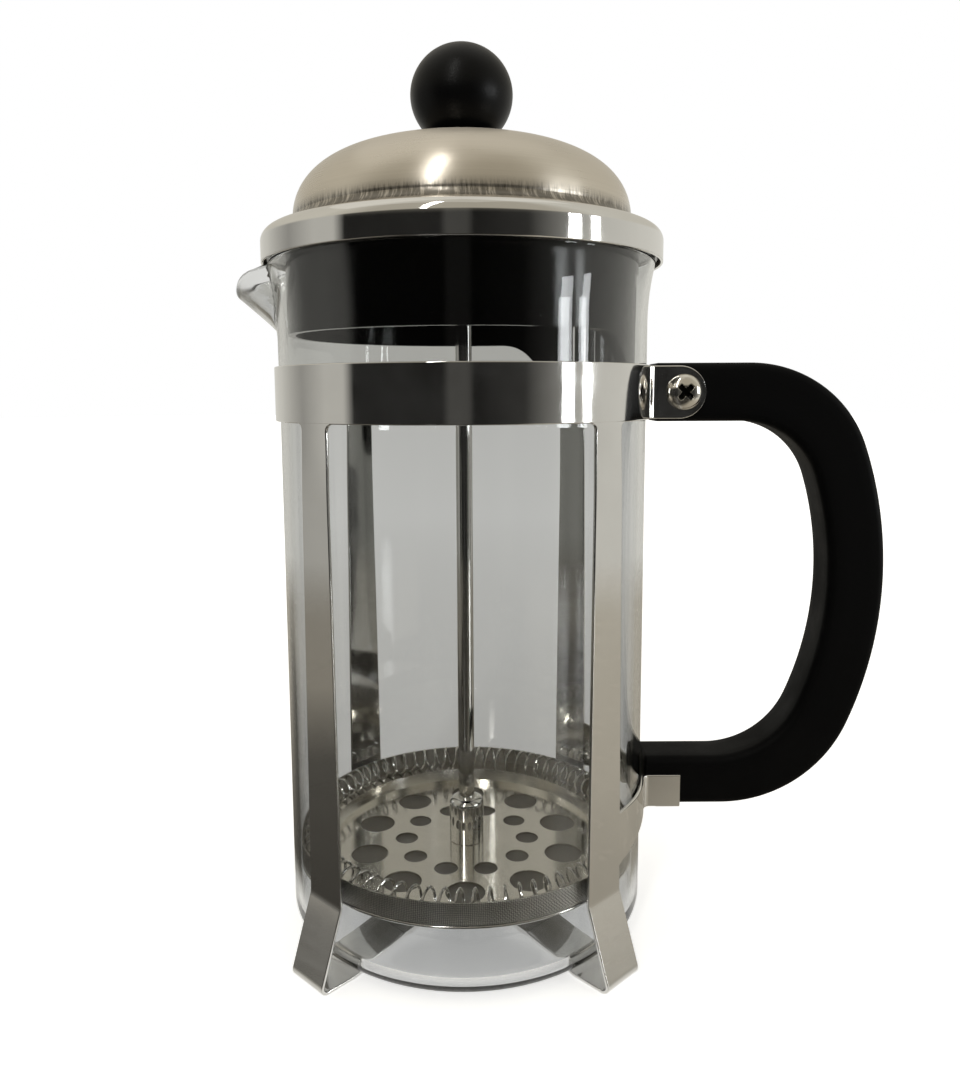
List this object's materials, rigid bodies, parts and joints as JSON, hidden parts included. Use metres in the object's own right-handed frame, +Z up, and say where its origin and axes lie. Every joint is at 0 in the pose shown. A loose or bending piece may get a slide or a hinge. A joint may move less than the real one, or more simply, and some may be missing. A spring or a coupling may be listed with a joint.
{
  "type": "french press",
  "caption": "Glass coffee press in a polished strap frame with a black D-shaped handle, domed steel lid, ball knob and a plunger whose mesh filter is edged with a coil spring.",
  "frame": {"origin": "on the table, under the middle of the beaker", "axes": "+Z up along the beaker's axis, +X towards the handle, -X towards the pouring lip"},
  "size_m": [0.1772, 0.1066, 0.2385],
  "materials": {
    "glass": "clear thin blown glass",
    "polished_steel": "bright polished",
    "satin_steel": "satin",
    "black_matte": "matte with a fine grain",
    "black_gloss": "glossy",
    "fastener_steel": "nickel plated",
    "insert_brass": "plain",
    "woven_mesh": "fine woven wire",
    "spring_wire": "drawn wire"
  },
  "bodies": {
    "frame": {"frame_band": "polished_steel", "leg_front_left": "polished_steel", "leg_front_right": "polished_steel", "leg_back_left": "polished_steel", "leg_back_right": "polished_steel", "base_cross": "polished_steel", "lower_bracket": "polished_steel", "handle": "black_matte", "handle_screw": "fastener_steel", "handle_nut": "fastener_steel"},
    "beaker": {"beaker": "glass"},
    "lid_bush": {"lid_bush": "black_gloss", "bush_nut": "black_gloss"},
    "lid": {"lid_dome": "satin_steel", "lid_collar": "black_gloss"},
    "plunger": {"knob": "black_matte", "knob_insert": "insert_brass", "plunger_rod": "polished_steel", "rod_sleeve": "polished_steel", "filter_plate": "satin_steel", "filter_mesh": "woven_mesh", "cross_plate": "satin_steel", "filter_spring": "spring_wire"}
  },
  "joints": [
    {"name": "beaker_lift", "type": "slide", "parent": "frame", "child": "beaker", "axis": [0, 0, 1], "range_m": [0, 0.16]},
    {"name": "lid_lift", "type": "slide", "parent": "beaker", "child": "lid_bush", "axis": [0, 0, 1], "range_m": [0, 0.2]},
    {"name": "lid_turn", "type": "hinge", "parent": "lid_bush", "child": "lid", "pos_m": [0, 0, 0.2], "axis": [0, 0, 1], "continuous": true},
    {"name": "plunger_slide", "type": "slide", "parent": "lid_bush", "child": "plunger", "axis": [0, 0, 1], "range_m": [0, 0.1235]}
  ]
}
